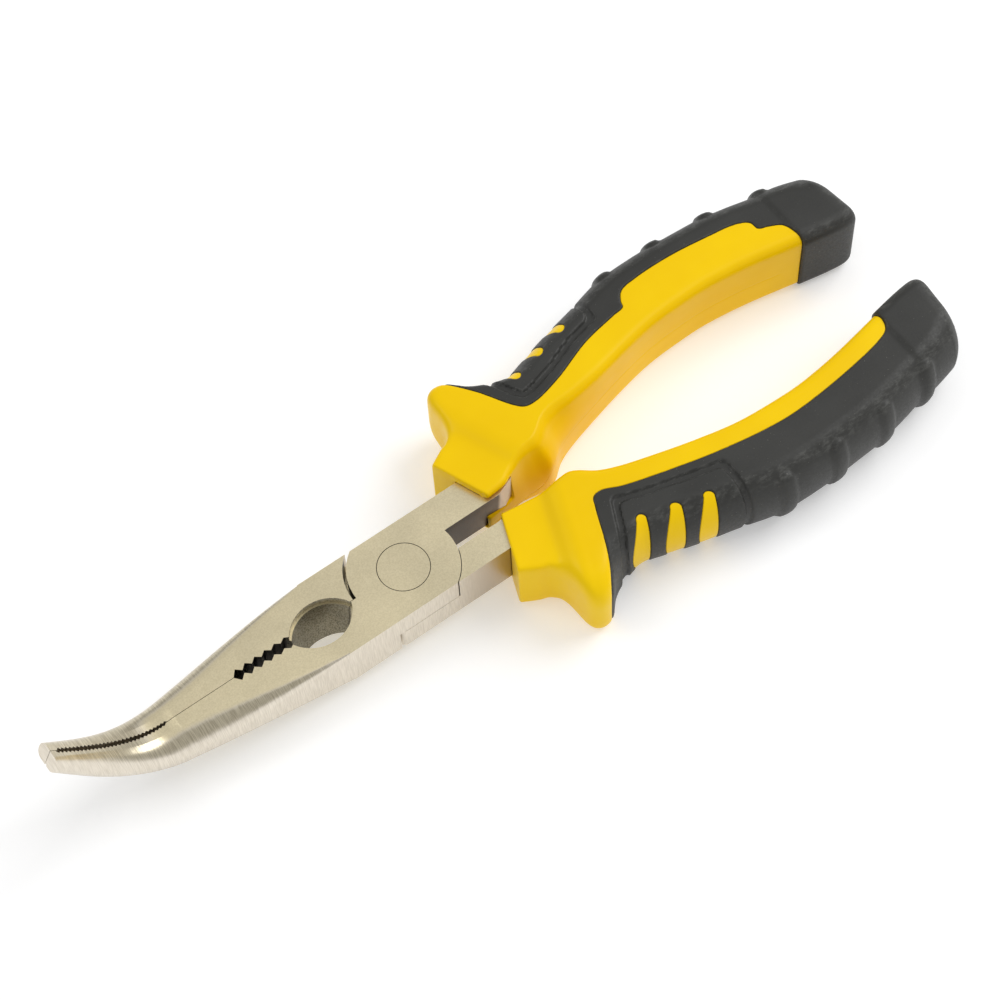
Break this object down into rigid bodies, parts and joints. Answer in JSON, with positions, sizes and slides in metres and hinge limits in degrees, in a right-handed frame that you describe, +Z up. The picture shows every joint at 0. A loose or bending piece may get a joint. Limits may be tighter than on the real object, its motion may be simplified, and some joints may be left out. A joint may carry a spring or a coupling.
{
  "type": "bent-nose pliers",
  "caption": "Long-nose pliers with an upward bent, toothed nose, a pipe-grip oval, a flush lap joint and two-component grips.",
  "frame": {"origin": "centre of the tool's outline on the surface it lies on", "axes": "+X towards the nose, +Z up, away from the surface, the nose bending up; the jaws meet in the XZ plane"},
  "size_m": [0.1975, 0.0638, 0.0307],
  "materials": {
    "forged_steel": "satin nickel over ground steel",
    "grip_core": "satin moulded",
    "grip_cover": "fine matte moulded"
  },
  "bodies": {
    "upper_half": {"jaw_lever_upper": "forged_steel", "pivot_rivet": "forged_steel", "grip_core_upper": "grip_core", "grip_cover_upper": "grip_cover"},
    "lower_half": {"jaw_lever_lower": "forged_steel", "grip_core_lower": "grip_core", "grip_cover_lower": "grip_cover"}
  },
  "joints": [
    {"name": "pivot", "type": "hinge", "parent": "upper_half", "child": "lower_half", "pos_m": [0.0219, 0, 0.0086], "axis": [0, 0, -1], "range_deg": [0, 70]}
  ]
}
